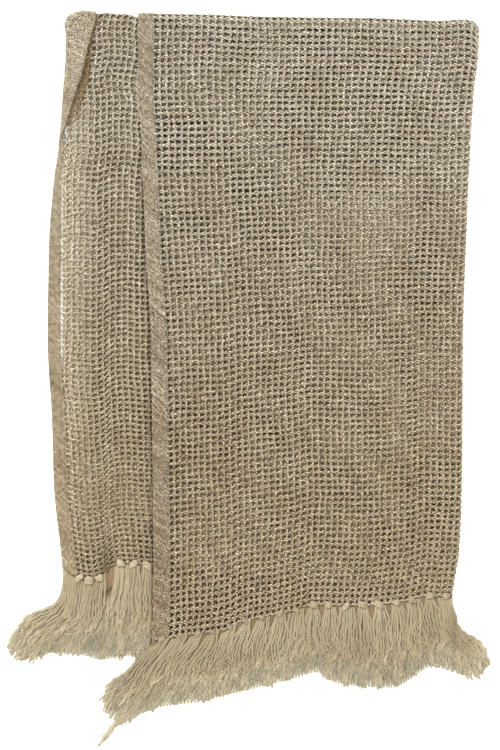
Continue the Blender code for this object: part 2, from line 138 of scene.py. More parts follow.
# Hems, where the knots of the fringe begin
HEMS = (
    ("x", "top", "third", "second", "floor"),
    (-0.248, -0.3533, -0.258, -0.232, -0.246),
    (-0.231, -0.3533, -0.269, -0.232, -0.246),
    (-0.213, -0.3533, -0.273, -0.2325, -0.246),
    (-0.196, -0.3533, -0.268, -0.2325, -0.246),
    (-0.184, -0.3533, -0.254, -0.233, -0.246),
    (-0.165, -0.3533, -0.25, -0.233, -0.246),
    (-0.131, -0.3533, -0.253, -0.2335, -0.2458),
    (-0.093, -0.3467, -0.2555, -0.234, -0.245),
    (-0.033, -0.3387, -0.26, -0.235, -0.244),
    (-0.013, -0.3285, -0.262, -0.235, -0.2435),
    (0.053, -0.3147, -0.268, -0.236, -0.243),
    (0.087, -0.3055, -0.272, -0.237, -0.242),
    (0.141, -0.3067, -0.2785, -0.238, -0.241),
    (0.212, -0.3, -0.288, -0.239, -0.2405),
    (0.232, -0.2937, -0.2905, -0.2395, -0.24),
    (0.268, -0.2947, -0.2947, -0.24, -0.24),
)

# Where the fringe of each layer ends, for what lies across it
TIP_LINES = {"floor": -0.352, "second": -0.349, "third": -0.386}
TIP_SLOPE = 0.045

# Margin of the third layer, turned over on its face beside the crosswise fold
MARGIN = (
    ("y", "turned"),
    (0.474, 0.04), (0.433, 0.027), (0.397, 0.0205), (0.371, 0.0133),
    (0.333, 0.0047), (0.315, -0.001), (0.295, -0.006),
)
BACK_MARGIN_RATE = 1.6

# Soft ridges of the third layer at its hem, and slow waves of the top layer
RIDGES = (
    ("x", "width", "height"),
    (-0.153, 0.021, 0.0042),
    (-0.218, 0.018, 0.0024),
)
RIDGE_START, RIDGE_RISE, RIDGE_FALL = -0.165, 0.075, 0.060
WAVES = (
    ("height", "along_x", "along_y", "phase"),
    (0.0006, 21.0, 9.0, 0.4),
    (0.0005, -12.0, 23.0, 1.9),
    (0.0004, 34.0, -15.0, 3.0),
)
WAVE_FALL = 0.050


def ease(v):
    """0 below 0, 1 above 1, and an even S between: 3 v squared less 2 v cubed."""
    v = np.clip(v, 0.0, 1.0)
    return v * v * (3.0 - 2.0 * v)


def unit(v):
    """Vectors brought to a length of one."""
    return v / np.maximum(np.linalg.norm(v, axis=-1, keepdims=True), 1e-12)


def read(lines, at, column):
    """A list's column as a smooth line over its first column: a cubic between each two
    rows, with the harmonic mean of the two slopes at each row, so it never overshoots."""
    names = lines[0]
    rows = np.array(sorted(lines[1:]), float)
    place, value = rows[:, 0], rows[:, names.index(column)]
    grade = np.diff(value) / np.diff(place)
    product, total = grade[:-1] * grade[1:], grade[:-1] + grade[1:]
    even = product > 0
    slope = np.concatenate([grade[:1], np.zeros(len(product)), grade[-1:]])
    slope[1:-1][even] = 2.0 * product[even] / total[even]
    at = np.asarray(at, float)
    i = np.clip(np.searchsorted(place, at) - 1, 0, len(place) - 2)
    width = place[i + 1] - place[i]
    f = np.clip((at - place[i]) / width, 0.0, 1.0)
    bend = width * f * (1 - f) * (slope[i] * (1 - f) - slope[i + 1] * f)
    return value[i] + (value[i + 1] - value[i]) * f * f * (3 - 2 * f) + bend


def turn_start(layer, y):
    """Length of cloth that is turned over at a selvedge: the flat width and the half
    circle, pi times its radius. The back half opens out sooner along y."""
    if layer in ("second", "floor"):
        far = MARGIN[1][0]
        y = far - BACK_MARGIN_RATE * (far - y)
    return np.maximum(read(MARGIN, y, "turned") + pi * MARGIN_RADIUS, 0.0)


def rise(layer, x, y):
    """Height that a layer gives to what lies on it: its step, times an S at its
    selvedge, at the lengthwise fold and at the tips of its fringe."""
    beside = ease((x - read(SIDES, y, layer)) / SKIRT + 1)
    past_fold = 1 - ease((x - read(SIDES, y, "fold")) / SKIRT)
    past_tips = 1 - ease((TIP_LINES[layer] - y) / TIP_SLOPE)
    return LAYER_STEP * beside * past_fold * past_tips


def margin_rise(x, y):
    """Height that the back half's turned margin gives to the layers over it: that of a
    point on its half circle, out to the margin's width."""
    start = turn_start("second", y)
    width = np.maximum(start - pi * MARGIN_RADIUS, 0) + MARGIN_RADIUS
    beside = ease((read(SIDES, y, "second") + width - x) / SKIRT + 1)
    return beside * MARGIN_RADIUS * (1 - np.cos(np.minimum(start / MARGIN_RADIUS, pi)))


def ridge(x, y):
    """The third layer's soft ridges: bell curves across x that fade up the cloth and
    down the fringe."""
    below = read(HEMS, x, "third") - y
    fade = ease((RIDGE_START - y) / RIDGE_RISE) * (1 - ease(below / RIDGE_FALL))
    return fade * sum(h * np.exp(-(((x - at) / w) ** 2)) for at, w, h in RIDGES[1:])


def underside(layer, x, y):
    """Height of a layer's underside: the sum of all that lies under it, and for the
    top layer a sum of slow sine waves that ends at its hem."""
    z = np.zeros(np.broadcast(x, y).shape)
    if layer == "floor":
        return z
    z = z + rise("floor", x, y) + margin_rise(x, y)
    if layer == "second":
        return z
    z = z + rise("second", x, y) + ridge(x, y)
    if layer == "third":
        return z
    lift = sum(h * (1 + np.sin(kx * x + ky * y + at)) for h, kx, ky, at in WAVES[1:])
    below_hem = ease((read(HEMS, x, "top") - y) / WAVE_FALL)
    return z + rise("third", x, y) + lift * (1 - below_hem)


def fold_line(x):
    """y where a layer begins to bend round the crosswise fold: the far edge, less the
    bend's outer radius."""
    y = MARGIN[1][0]
    under_top = ease((x - read(SIDES, y, "top")) / SKIRT + 1)
    turned = turn_start("third", y) - pi * MARGIN_RADIUS
    in_margin = ease((read(SIDES, y, "third") + turned - x) / SKIRT + 1)
    radius = FOLD_RADIUS + LAYER_STEP * np.maximum(under_top, in_margin)
    return read(FAR_EDGE, x, "y") - radius - CLOTH_THICK / 2


FRONT_OF = {"top": "floor", "third": "second", "second": "third", "floor": "top"}
BESIDE = {"top": "third", "third": "top", "second": "floor", "floor": "second"}


def lie(layer, q, p):
    """Middle of a layer's cloth, where q is the share of the cloth's own width from the
    free selvedge (0) to the lengthwise fold (1), and p the share of its own length
    from the crosswise fold (0) to the hem (1). Across: a half circle where the margin
    turns over, a straight run, and a quarter of the lengthwise fold. Along: a quarter
    circle and a straight run. x and y need each other, so five passes settle them."""
    q, p = np.broadcast_arrays(np.asarray(q, float), np.asarray(p, float))
    side = -1.0 if layer == "second" else 1.0
    has_margin = layer in ("third", "second")
    y = 0.46 - 0.78 * p
    quarter = FOLD_RADIUS * pi / 2
    for _ in range(5):
        fold = read(SIDES, y, "fold") - CLOTH_THICK / 2
        start = turn_start(layer, y) if has_margin else np.zeros(y.shape)
        bent = np.minimum(start / MARGIN_RADIUS, pi / 2)
        line = read(SIDES, y, layer) + MARGIN_RADIUS * np.sin(bent)
        width = start + fold - FOLD_RADIUS - line + quarter
        a = q * width
        angle = np.clip((start - a) / MARGIN_RADIUS, 0, pi)
        past = np.maximum(start - a - pi * MARGIN_RADIUS, 0)
        round_fold = np.clip((a - width + quarter) / FOLD_RADIUS, 0, pi / 2)
        x = line - MARGIN_RADIUS * np.sin(angle) + past + np.maximum(a - start, 0)
        x = np.minimum(x, fold - FOLD_RADIUS) + FOLD_RADIUS * np.sin(round_fold)
        flat_x = np.minimum(x, fold - FOLD_RADIUS)
        bend_y = fold_line(x)
        turned_up = MARGIN_RADIUS * (1 - np.cos(angle))
        own = underside(layer, flat_x, bend_y) + side * turned_up
        other = underside(FRONT_OF[layer], flat_x, bend_y) - side * turned_up
        radius = np.maximum(np.abs(own - other) / 2, 1e-4)
        length = radius * pi / 2 + bend_y - read(HEMS, x, layer)
        down = p * length
        bend = np.clip(down / radius, 0, pi / 2)
        y = bend_y + radius * np.cos(bend) - np.maximum(down - radius * pi / 2, 0)
    own = underside(layer, flat_x, np.minimum(y, bend_y)) + side * turned_up
    beside = underside(BESIDE[layer], flat_x, np.minimum(y, bend_y))
    z = own + (beside - own) / 2 * (1 - np.cos(round_fold))
    z = z + (other - own) / 2 * (1 - np.sin(bend))
    return np.stack([x, y, z + CLOTH_THICK / 2], axis=-1)


def on_cloth(layer, q, p, lift):
    """Points a given height over the cloth's middle, and the cloth's upward normal
    there: the cross product of a small step along and a small step across."""
    step = 0.0015
    q, p = np.broadcast_arrays(np.asarray(q, float), np.asarray(p, float))
    here = lie(layer, q, p)
    left, right = np.maximum(q - step, 0), np.minimum(q + step, 1)
    far, near = np.maximum(p - step, 0), np.minimum(p + step, 1)
    across = lie(layer, right, p) - lie(layer, left, p)
    along = lie(layer, q, near) - lie(layer, q, far)
    normal = unit(np.cross(along, across))
    return here + normal * np.asarray(lift)[..., None], normal


def between(grid, u, v):
    """A grid of numbers read between its points, straight in both ways."""
    u = np.clip(u, 0, grid.shape[1] - 1.001)
    v = np.clip(v, 0, grid.shape[0] - 1.001)
    i, j = u.astype(int), v.astype(int)
    f, g = u - i, v - j
    low = grid[j, i] * (1 - f) + grid[j, i + 1] * f
    high = grid[j + 1, i] * (1 - f) + grid[j + 1, i + 1] * f
    return low * (1 - g) + high * g


# A stitch's strays, in stitches: a slow drift over nine stitches and its own small slip
DRIFT, SLOW_STRAY, QUICK_STRAY = 9, 0.16, 0.075


def hand_made(columns, seed):
    """How far each stitch strays from an even net, in both ways."""
    draw = np.random.default_rng(seed)
    v, u = np.meshgrid(np.arange(ROWS + 3.0), np.arange(columns + 3.0), indexing="ij")
    grids = []
    for _ in range(2):
        shape = ((ROWS + 3) // DRIFT + 3, (columns + 3) // DRIFT + 3)
        coarse = draw.normal(0, SLOW_STRAY, shape)
        fine = draw.normal(0, QUICK_STRAY, v.shape)
        grids.append(between(coarse, u / DRIFT, v / DRIFT) + fine)
    return grids


# Turn from one strand's ring to the next, so that no two neighbours start alike, and
# the margins of a strand's own strip of the OFBake map
GOLDEN_ANGLE = 2.399
STRIP_SIDE, STRIP_END = 0.06, 0.006


def strands(name, paths, ups, radius, twist, tone, sides=3, flat=1.0):
    """Yarn as joined closed tubes: a ring of a few points round each point of a path, at
    its radius, turned by twist radians from one to the next, as plied yarn is. flat is
    its height by its width, and no point goes under the table. paths and ups are
    strands x points x 3, radius and tone strands x points. The yarn map holds the share
    round the yarn and the metres along it, and each strand has its own strip of the
    OFBake map."""
    count, points = paths.shape[:2]
    way = unit(np.gradient(paths, axis=1))
    across = unit(np.cross(way, ups))
    up = np.cross(across, way)
    radius = np.broadcast_to(radius, (count, points))[..., None, None]
    start = (np.arange(count) * GOLDEN_ANGLE)[:, None] + np.arange(points) * twist
    around = np.arange(sides) * 2 * pi / sides
    angle = start[..., None] + around
    ring = across[:, :, None] * np.cos(angle)[..., None]
    ring = ring + up[:, :, None] * np.sin(angle)[..., None] * flat
    verts = paths[:, :, None] + ring * radius
    verts[..., 2] = np.maximum(verts[..., 2], 0.0)

    strand = np.arange(count)[:, None, None, None]
    step = np.arange(points - 1)[:, None, None] + [0, 0, 1, 1]
    side = np.arange(sides)[:, None] + [0, 1, 1, 0]
    quads = (strand * points + step) * sides + side % sides
    low_cap = strand[..., 0, 0] * points * sides + np.arange(sides)
    high_cap = low_cap + (points - 1) * sides
    loops = np.concatenate([quads.ravel(), low_cap[:, ::-1].ravel(), high_cap.ravel()])
    sizes = np.repeat([4, sides], [quads.size // 4, 2 * count])
    mesh = bpy.data.meshes.new(name)
    mesh.vertices.add(count * points * sides)
    mesh.vertices.foreach_set("co", verts.ravel())
    mesh.loops.add(len(loops))
    mesh.loops.foreach_set("vertex_index", loops)
    mesh.polygons.add(len(sizes))
    mesh.polygons.foreach_set("loop_start", np.concatenate([[0], np.cumsum(sizes)[:-1]]))
    mesh.update(calc_edges=True)

    metres = np.zeros((count, points))
    metres[:, 1:] = np.cumsum(np.linalg.norm(np.diff(paths, axis=1), axis=-1), 1)
    share = metres / np.maximum(metres[:, -1:], 1e-9)
    turn = np.broadcast_to(side / sides, quads.shape)
    yarn = np.stack([turn, metres[:, step] + 0 * turn], -1)
    ends = np.zeros((2, count, sides, 2))
    ends[..., 0] = np.arange(sides) / sides
    ends[1, ..., 1] = metres[:, -1:]
    yarn = np.concatenate([yarn.ravel(), ends.ravel()])
    along = STRIP_END + (1 - 2 * STRIP_END) * share[:, step] + 0 * turn
    strip = (strand + STRIP_SIDE + (1 - 2 * STRIP_SIDE) * turn) / count
    cap = [0.0025 + 0.002 * np.cos(around), (0.5 + 0.4 * np.sin(around)) / count]
    first = [np.zeros(count), np.arange(count) / count]
    cap = np.stack(cap, -1) + np.stack(first, -1)[:, None]
    bake = (np.stack([along, strip], -1), cap, cap + np.array([0.995, 0.0]))
    bake = np.concatenate([k.ravel() for k in bake])
    mesh.uv_layers.new(name="yarn").data.foreach_set("uv", yarn)
    mesh.uv_layers.new(name="OFBake").data.foreach_set("uv", bake)

    tone = np.broadcast_to(tone, (count, points))
    shade = mesh.attributes.new("tone", "FLOAT", "POINT")
    shade.data.foreach_set("value", np.repeat(tone.ravel(), sides))
    mesh.shade_smooth()
    mesh.validate()
    thing = bpy.data.objects.new(name, mesh)
    bpy.context.scene.collection.objects.link(thing)
    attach(thing, "root")
    return thing


def join_up(name, parts, material, node_name):
    """One mesh of several, with each part's OFBake strips in a share of the map of its
    own, as high as the part has faces."""
    faces = np.array([len(part.data.polygons) for part in parts], float)
    shares = np.concatenate([[0], np.cumsum(faces / faces.sum())])
    for low, high, part in zip(shares[:-1], shares[1:], parts):
        data = part.data.uv_layers["OFBake"].data
        flat = np.empty(len(data) * 2)
        data.foreach_get("uv", flat)
        flat[1::2] = low + flat[1::2] * (high - low)
        data.foreach_set("uv", flat)
    if len(parts) > 1:
        with bpy.context.temp_override(
            active_object=parts[0], selected_objects=parts,
            selected_editable_objects=parts
        ):
            bpy.ops.object.join()
    whole = parts[0]
    whole.name = whole.data.name = name
    whole.data.materials.clear()
    whole.data.materials.append(material)
    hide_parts(node_name)
    return whole


# Colours that the tone mixes in: the multiplier of painted shade, and the brown of
# painted shadow. The cool multiplier makes the far end greyer and lighter, the lightening
# being painted light, and stains run from brown to pale.
PAINTED_SHADE_MULTIPLIER = (0.19, 0.150, 0.096, 1.0)
PAINTED_SHADOW_BROWN = (0.50, 0.345, 0.18, 1.0)
COOL_AND_PAINTED_LIGHT = (1.17, 1.30, 1.57, 1.0)
STAINS = ((0.30, (0.92, 0.88, 0.81, 1.0)), (0.72, (1.08, 1.09, 1.09, 1.0)))
SHEEN = (0.95, 0.87, 0.72, 1.0)
PLIES_A_METRE = 260.0


def cotton(name, dark, light, pale_and_painted_light, bump, fluff, grain, greying_and_painted_light=0.20):
    """Undyed cotton yarn: its colour runs from painted shade between the plies to their
    tops, with fine speckles and slow stains. It turns greyer up the cloth to the
    crosswise fold, and lighter there with painted light, and the last argument is how far
    it has turned halfway up. The bump has diagonal plies, sines round and along the yarn,
    and fine fibres. The tone on the yarn turns it paler below 0, which on the net is
    painted light, deepens it with painted shade from 0 to 1, and turns it to the brown of
    painted shadow from 1 to 2."""
    material = bpy.data.materials.new(name)
    material.use_nodes = True
    nodes, links = material.node_tree.nodes, material.node_tree.links

    def node(kind, **values):
        made = nodes.new(kind)
        for key, value in values.items():
            setattr(made, key, value)
        return made

    def plug(made, socket, source):
        """Fills a socket with another node's output, or sets it to a plain value."""
        if isinstance(source, bpy.types.NodeSocket):
            links.new(source, made.inputs[socket])
        else:
            made.inputs[socket].default_value = source
        return made

    def work(operation, first, second=0.0, clamp=False):
        made = node("ShaderNodeMath", operation=operation, use_clamp=clamp)
        return plug(plug(made, 0, first), 1, second).outputs[0]

    def noise(scale, detail):
        made = plug(node("ShaderNodeTexNoise"), "Vector", place)
        return plug(plug(made, "Scale", scale), "Detail", detail).outputs["Fac"]

    def blend(share, first, second, kind="MIX"):
        made = node("ShaderNodeMix", data_type="RGBA", blend_type=kind)
        return plug(plug(plug(made, 0, share), 6, first), 7, second).outputs[2]

    place = node("ShaderNodeTexCoord").outputs["Object"]
    up_cloth = plug(node("ShaderNodeSeparateXYZ"), 0, place).outputs[1]
    yarn = node("ShaderNodeUVMap", uv_map="yarn").outputs["UV"]
    yarn = plug(node("ShaderNodeSeparateXYZ"), 0, yarn).outputs
    tone = node("ShaderNodeAttribute", attribute_name="tone").outputs["Fac"]
    plies = work("MULTIPLY", yarn[1], PLIES_A_METRE)
    plies = work("ADD", work("MULTIPLY", yarn[0], 2.0), plies)
    plies = work("SINE", work("MULTIPLY", plies, 2 * pi))

    # The colour runs from painted shade between the plies to their tops.
    speckle = work("MULTIPLY", noise(240.0, 2.0), 1.7 * grain)
    share = work("ADD", work("MULTIPLY", plies, 0.34 * grain), speckle)
    share = work("ADD", share, 0.5 - 0.85 * grain, True)
    colour = blend(share, (*dark, 1.0), (*light, 1.0))
    # Greyer up the cloth, and lighter there with painted light.
    far_end = work("ADD", work("MULTIPLY", up_cloth, 1.6), greying_and_painted_light, True)
    colour = blend(far_end, colour, COOL_AND_PAINTED_LIGHT, "MULTIPLY")
    stain_and_painted_shadow = plug(node("ShaderNodeValToRGB"), 0, noise(20.0, 4.0))
    for element, (position, shade) in zip(stain_and_painted_shadow.color_ramp.elements, STAINS):
        element.position, element.color = position, shade
    colour = blend(1.0, colour, stain_and_painted_shadow.outputs[0], "MULTIPLY")
    # By the tone: painted shade, a paler colour that is painted light on the net, and
    # brown painted shadow.
    colour = blend(work("MULTIPLY", tone, 1.0, True), colour, PAINTED_SHADE_MULTIPLIER, "MULTIPLY")
    colour = blend(work("MULTIPLY", tone, -1.0, True), colour, (*pale_and_painted_light, 1.0))
    colour = blend(work("SUBTRACT", tone, 1.0, True), colour, PAINTED_SHADOW_BROWN)

    relief = plug(node("ShaderNodeBump"), "Strength", bump)
    plug(relief, "Distance", 0.0004)
    plug(relief, "Height", work("ADD", work("MULTIPLY", plies, 0.5), noise(900.0, 3.0)))
    shader = nodes["Principled BSDF"]
    plug(shader, "Base Color", colour)
    plug(shader, "Normal", relief.outputs[0])
    plug(shader, "Roughness", 0.92)
    plug(shader, "Specular IOR Level", 0.25)
    plug(shader, "Sheen Weight", fluff)
    plug(shader, "Sheen Roughness", 0.6)
    plug(shader, "Sheen Tint", SHEEN)
    return material


def closer(layer, share, row):
    """How much thicker the yarn is where the net is drawn together: in the last row,
    by an S next to the lengthwise fold, and by an S that rises down the rows towards
    the hem, on the third layer sooner, and on the top layer more near the fold."""
    more = 0.2 * (row > ROWS - 0.5) + 0.18 * ease((share - 0.72) / 0.25)
    if layer == "third":
        return more + 0.42 * ease((row - 50) / 36)
    return more + (0.38 + 0.17 * ease((share - 0.4) / 0.4)) * ease((row - 80) / 14)


# Share of a layer's width that its selvedge band takes, down its length
BAND_SHARES = (
    ("p", "top", "third", "second", "floor"),
    (0.0, 0.044, 0.077, 0.077, 0.044),
    (0.035, 0.044, 0.06, 0.06, 0.044),
    (0.075, 0.044, 0.048, 0.048, 0.044),
    (0.118, 0.044, 0.034, 0.034, 0.044),
    (0.17, 0.044, 0.028, 0.029, 0.044),
    (0.2, 0.044, 0.0198, 0.029, 0.044),
    (0.232, 0.044, 0.0158, 0.029, 0.044),
    (0.276, 0.045, 0.0167, 0.029, 0.044),
    (0.39, 0.046, 0.0259, 0.029, 0.044),
    (0.562, 0.048, 0.0294, 0.029, 0.044),
    (0.8, 0.051, 0.032, 0.029, 0.044),
    (1.0, 0.054, 0.035, 0.029, 0.044),
)
# How much closer the rows lie towards the hem than at the crosswise fold
ROW_CROWDING = {"top": 0.0, "third": 0.124, "second": 0.0, "floor": 0.0}


def stitch(layer, columns, seed):
    """Gives a function that puts stitches on a layer: u counts columns from the selvedge
    band and v counts rows from the crosswise fold, both with their hand-made strays.
    Rows that lie closer towards the hem follow a parabola that fades across."""
    stray_u, stray_v = hand_made(columns, seed)

    def place(u, v, lift):
        du, dv = between(stray_u, u + 1, v + 1), between(stray_v, u + 1, v + 1)
        held = np.clip(np.minimum(v, ROWS - v) / 3, 0, 1)
        held = held * np.clip((columns - u) / 2, 0, 1)
        u, v = u + du * held, v + dv * held
        across = np.clip(u / columns, 0, 1)
        sag = ROW_CROWDING[layer] * (1 - across * across)
        v = np.clip(v / ROWS, 0, 1)
        v = v * (1 + sag) - v * v * sag
        band = read(BAND_SHARES, v, layer)
        return on_cloth(layer, band + (1 - band) * across, v, lift)

    return place


# The net's yarn: radius of the upper and lower strand of a row and of a column's two, how
# flat they lie and how they turn, the tones of painted shade on the columns, and the calm
# tone of painted shade where the net is drawn together
YARN_RADII = {"top": (0.00118, 0.00103, 0.00144), "third": (0.00111, 0.00092, 0.00130)}
YARN_FLAT = 0.65
YARN_TWIST = 0.9
COLUMN_SHADE_TONES = {"top": 0.35, "third": 0.30}
CALM_TONE = 0.50

# Places in stitches: how far a row's strands lie above and below its line and how far
# they snake, and how far a column's strands sway
UPPER_PLACE, UPPER_SNAKE = -0.10, 0.15
LOWER_PLACE, LOWER_SNAKE = 0.13, 0.10
COLUMN_SWAY = 0.18


def crochet(layer, columns, first, last, seed):
    """An open net between two stitch columns. Along each row two strands snake side by
    side, sines of one wave a stitch, and down each column two strands cross between the
    rows, cosines of one wave in two rows. Tones: a painted highlight makes the crests of
    the upper row yarn palest, painted shade makes the lower row strand and the columns
    deeper, and where the net is drawn together all go towards one calm tone of painted
    shade."""
    place = stitch(layer, columns, seed)
    draw = np.random.default_rng(seed + 50)
    upper, lower, upright = YARN_RADII[layer]

    def uneven(u, v, spread):
        """The yarn's thickness, spread by chance, and its share of the calm tone."""
        drawn = closer(layer, u / columns, v)
        thick = 1 + spread * draw.normal(0, 1, v.shape) + drawn
        return thick, np.clip(1.5 * drawn, 0, 0.85)

    rows = np.arange(ROWS + 1.0)
    steps = np.linspace(first, last, (last - first) * 4 + 1)
    v, u = np.meshgrid(rows, steps, indexing="ij")
    slip = draw.uniform(-0.6, 0.6, (ROWS + 1, 1))
    swing, crest = np.sin(2 * pi * u + slip), np.cos(2 * pi * u + slip - 0.6)
    thick, calm = uneven(u, v, 0.14)
    # A painted highlight on the crests of the upper strand, and random tone
    tone = 0.12 - 0.10 * crest + 0.12 * draw.normal(0, 1, v.shape)
    tone = tone * (1 - calm) + CALM_TONE * calm
    points = place(u, v + UPPER_PLACE + UPPER_SNAKE * swing, 0.0010 + 0.0004 * crest)
    made = [(*points, upper * thick, tone)]

    steps = np.linspace(first, last, (last - first) * 3 + 1)
    v, u = np.meshgrid(rows, steps, indexing="ij")
    swing, crest = np.sin(2 * pi * u + slip + 2.2), np.cos(2 * pi * u + slip - 0.6)
    thick, calm = uneven(u, v, 0.14)
    # Painted shade on the lower strand of a row, and random tone
    tone = 0.18 + 0.10 * draw.normal(0, 1, v.shape)
    points = place(u, v + LOWER_PLACE + LOWER_SNAKE * swing, 0.0001 - 0.0003 * crest)
    made.append((*points, lower * thick, tone))

    steps = np.linspace(0, ROWS, ROWS * 2 + 1)
    u, v = np.meshgrid(np.arange(first, last + 1.0), steps, indexing="ij")
    sway = np.cos(pi * v)
    thick, calm = uneven(u, np.minimum(v, ROWS - 1), 0.12)
    # Painted shade on the columns, a little more on their lower strand
    tone = COLUMN_SHADE_TONES[layer] + 0.12 * draw.normal(0, 1, v.shape)
    tone = tone * (1 - calm) + CALM_TONE * calm
    points = place(u + COLUMN_SWAY * sway, v, 0.0001 + 0.0004 * sway)
    made.append((*points, upright * thick, tone))
    points = place(u - COLUMN_SWAY * sway + 0.04, v, -0.0004 - 0.0004 * sway)
    made.append((*points, upright * thick, tone + 0.08))
    return made


def net(name, made, shade=None):
    """The rows and columns of a net as one piece, with the painted shade and painted
    light of its shade at x and y added to their tone.
    """
    parts = []
    for i, (paths, ups, radius, tone) in enumerate(made):
        if shade is not None:
            tone = tone + shade(paths[..., 0], paths[..., 1])
        parts.append(
            strands(f"{name}_{i}", paths, ups, radius, YARN_TWIST, tone, flat=YARN_FLAT))
    return join_up(name, parts, net_cotton, "throw_cloth")


NET_DARK, NET_LIGHT = (0.53, 0.40, 0.25), (1.0, 0.87, 0.62)
NET_PALE_AND_PAINTED_LIGHT = (1.0, 0.93, 0.72)
net_cotton = cotton("undyed_cotton_net", NET_DARK, NET_LIGHT, NET_PALE_AND_PAINTED_LIGHT, 0.6, 0.2, 1.0)

for number, (first, last) in enumerate(((0, 16), (16, 32), (32, TOP_COLUMNS))):
    made = crochet("top", TOP_COLUMNS, first, last, 11)
    if number:  # the column at the joint is the piece's before it
        made[2:] = [tuple(k[1:] for k in lines) for lines in made[2:]]
    piece = net(f"net_top_{number + 1}", made)

# ----------
# Net of the third layer, which goes on from the top one round the lengthwise fold.
# It shows at the left, beside the top layer's selvedge, and is plain where covered.

SHOWN_COLUMNS = 17

# Yarn that stands for a covered row or column: its width, its radius where it bends
# round the folds, and where the strip that shows through begins
PLAIN_ROW, PLAIN_COLUMN = 0.0072, 0.0032
PLAIN_AT_FOLD = 0.0011
STRIP_X = -0.160


def margin_painted_shadow(x, y):
    """Brown painted shadow beside the turned margin, cast by it: level, then an S that
    falls off, over 1 mm at its narrow end and 14 mm lower down. It ends where the margin
    does, and goes from a little painted shade to the brown of painted shadow in one step,
    as the tones between them are the darkest."""
    away = x - read(SIDES, y, "third") - read(MARGIN, y, "turned") - MARGIN_RADIUS
    width = 0.0012 + 0.0128 * ease((0.462 - y) / 0.090)
    near = (1 - ease((away / width - 0.3) / 0.9)) * ease((away + 0.005) / 0.003)
    near = near * ease((y - 0.318) / 0.040)
    return np.where(near > 0.45, 1.70 + 0.3 * near, 0.6 * near)


def third_shade(x, y):
    """Painted shade of the third layer: brown painted shadow beside its turned margin,
    and bell curves of painted shade in the trough between its ridges and along the top
    layer's selvedge; and a paler strip of painted light over the second layer's selvedge."""
    beside = margin_painted_shadow(x, y)
    trough = 0.45 * np.exp(-(((x + 0.191) / 0.010) ** 2)) * ease((-0.20 - y) / 0.06)
    under = 0.45 * np.exp(-(((x - read(SIDES, y, "top")) / 0.005) ** 2))
    under = under * (1 - ease((y - 0.22) / 0.10))
    pale = 0.22 * (1 - ease((x + 0.238) / 0.014)) * (1 - ease((y - 0.28) / 0.05))
    return beside + trough + under - pale


def covered_shade(x, y):
    """Painted shade on the covered part, under the top layer; there is less of it near
    the hem and towards the lengthwise fold, so the part is paler there.
    """
    return 0.64 - 0.46 * ease((-0.17 - y) / 0.10) - 0.20 * ease((x - 0.02) / 0.20)


def plain_net(name, layer, columns, first, seed, shade):
    """The same net where others cover it, from one column to the lengthwise fold: a flat
    yarn for each row and each column, with narrow ones side by side where it bends
    round the folds. Rows are wider by an S towards the strip that shows at the left,
    and the second layer's have closer points there."""
    place = stitch(layer, columns, seed)
    at_fold = np.arange(0, 1, 0.2)
    rows = np.concatenate([at_fold, np.arange(1, ROWS + 1.0)])
    fine = first + 20 if layer == "second" else first
    last = columns - np.arange(3.0)[::-1]
    steps = [np.arange(first, fine), np.arange(fine, columns - 3, 3), last]
    steps = np.concatenate(steps)
    v, u = np.meshgrid(rows, steps, indexing="ij")
    paths, ups = place(u, v, 0.0 * u)
    shows = 1 - ease((paths[..., 0] - STRIP_X) / 0.020)
    wide = np.where(v < 1, PLAIN_AT_FOLD, PLAIN_ROW / 2 * (1 + 0.45 * shows))
    tone = shade(paths[..., 0], paths[..., 1])
    parts = [strands(f"{name}_0", paths, ups, wide, 0.0, tone, sides=4, flat=0.28)]
    lines = np.concatenate([np.arange(first, columns), columns - at_fold])
    steps = np.concatenate([np.arange(3), np.arange(3, ROWS, 3), [ROWS]])
    u, v = np.meshgrid(lines, steps, indexing="ij")
    paths, ups = place(u, v, -0.0002 + 0.0 * u)
    tone = shade(paths[..., 0], paths[..., 1])
    wide = np.where(u > columns - 1, PLAIN_AT_FOLD, PLAIN_COLUMN / 2)
    parts.append(strands(f"{name}_1", paths, ups, wide, 0.0, tone, flat=0.6))
    return join_up(name, parts, net_cotton, "throw_cloth")


made = crochet("third", THIRD_COLUMNS, 0, SHOWN_COLUMNS, 23)
net_third = net("net_third_shown", made, third_shade)

net_third_covered = plain_net(
    "net_third_covered", "third", THIRD_COLUMNS, SHOWN_COLUMNS, 23, covered_shade)

# ----------
# Net of the back half, second and floor layers, seen only through the meshes over
# them and at the folds, so it is plain.


def second_shade(x, y):
    """Painted shade on the second layer, less near its selvedge and its hem, so it is
    paler there and partly painted light, and the brown painted shadow beside the turned
    margin, like the third's."""
    far = 0.6 * ease((x + 0.236) / 0.034) - 0.6 * ease((-0.06 - y) / 0.12)
    return 0.25 + far + 0.7 * margin_painted_shadow(x, y)


def floor_shade(x, y):
    """Painted shade on the floor layer, less near its hem, so it is paler there."""
    return 0.70 - 0.40 * ease((-0.15 - y) / 0.12)


net_second = plain_net("net_second", "second", THIRD_COLUMNS, 0, 31, second_shade)
net_floor = plain_net("net_floor", "floor", TOP_COLUMNS, 0, 37, floor_shade)

# ----------
# Selvedges: along each free side the cloth ends in a band of close stitches, 9 to 24 mm
# wide and up to 43 mm in the turned margin, crocheted in one with the net. Its ribs run
# down and across.

RIB_PITCH = 0.0031
RIB_SLANT = 6.0
RIB_TWIST = 0.9
CORE_LANES, CORE_POINTS, CORE_RADIUS, CORE_MARGIN = 9, 120, 0.0022, 0.0024

